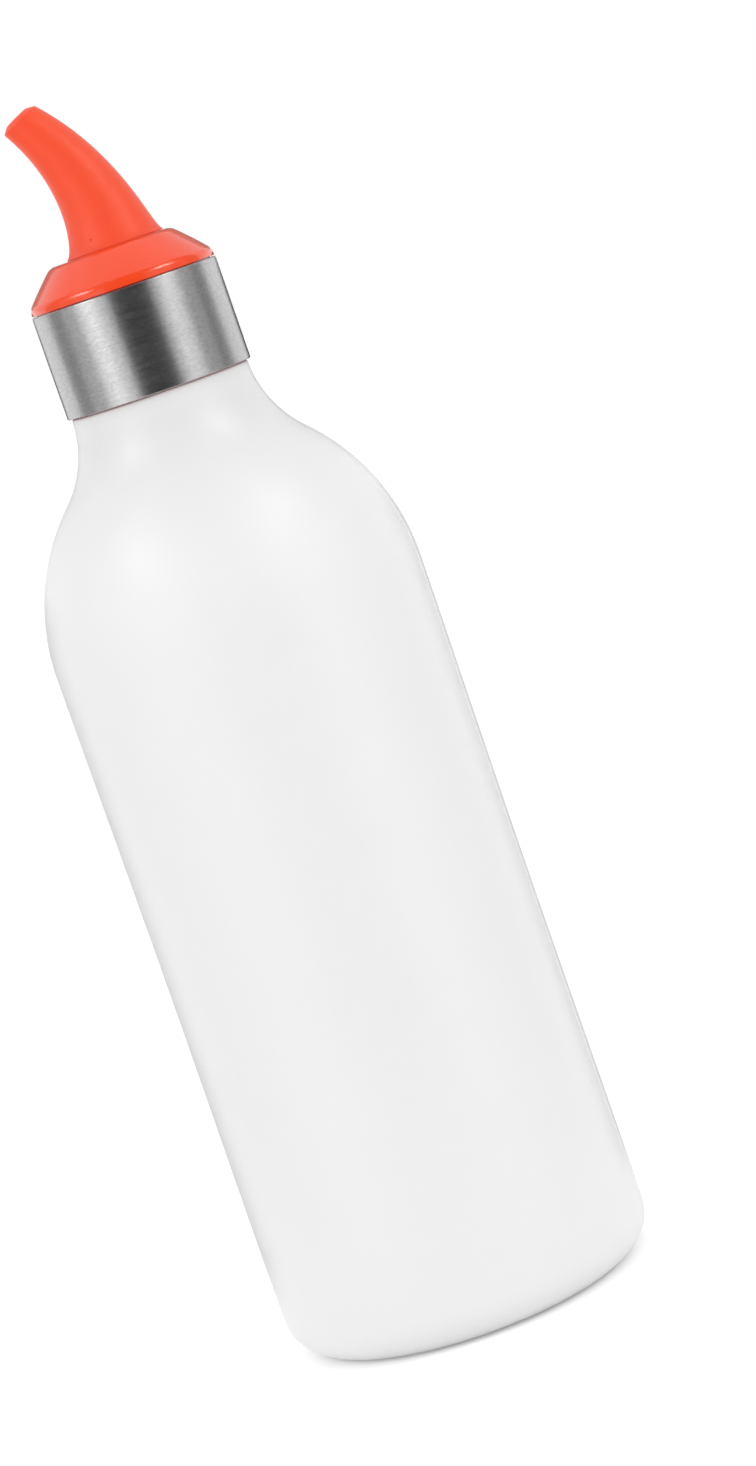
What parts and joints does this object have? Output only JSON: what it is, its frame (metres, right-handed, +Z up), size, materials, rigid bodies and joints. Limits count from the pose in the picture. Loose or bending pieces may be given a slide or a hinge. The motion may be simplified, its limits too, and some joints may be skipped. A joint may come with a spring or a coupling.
{
  "type": "squeeze bottle",
  "caption": "Squeeze bottle with a frosted round body, a screw cap in a brushed steel band, and a soft curved spout that tapers to an open tip.",
  "frame": {"origin": "on the bottle's axis, at the plane that its base stands on", "axes": "+Z up along the bottle's axis, the spout leans towards -X"},
  "size_m": [0.065, 0.065, 0.215],
  "materials": {
    "bottle": "frosted, slightly see-through",
    "cap": "glossy",
    "band": "brushed round the band",
    "spout": "soft satin",
    "seal": "matt"
  },
  "bodies": {
    "bottle": {"bottle_body": "bottle"},
    "seal": {"sealing_ring": "seal"},
    "cap": {"cap_shell": "cap", "steel_band": "band"},
    "spout": {"spout": "spout"}
  },
  "joints": [
    {"name": "cap_rise", "type": "slide", "parent": "bottle", "child": "seal", "axis": [0, 0, 1], "range_m": [0, 0.00635]},
    {"name": "cap_turn", "type": "hinge", "parent": "seal", "child": "cap", "pos_m": [0, 0, 0.1643], "axis": [0, 0, 1], "range_deg": [0, 540]},
    {"name": "spout_swivel", "type": "hinge", "parent": "cap", "child": "spout", "pos_m": [0, 0, 0.1848], "axis": [0, 0, 1], "continuous": true}
  ],
  "couplings": [
    {"joint": "cap_rise", "follows": "cap_turn", "m_per_rad": 0.00067323}
  ]
}
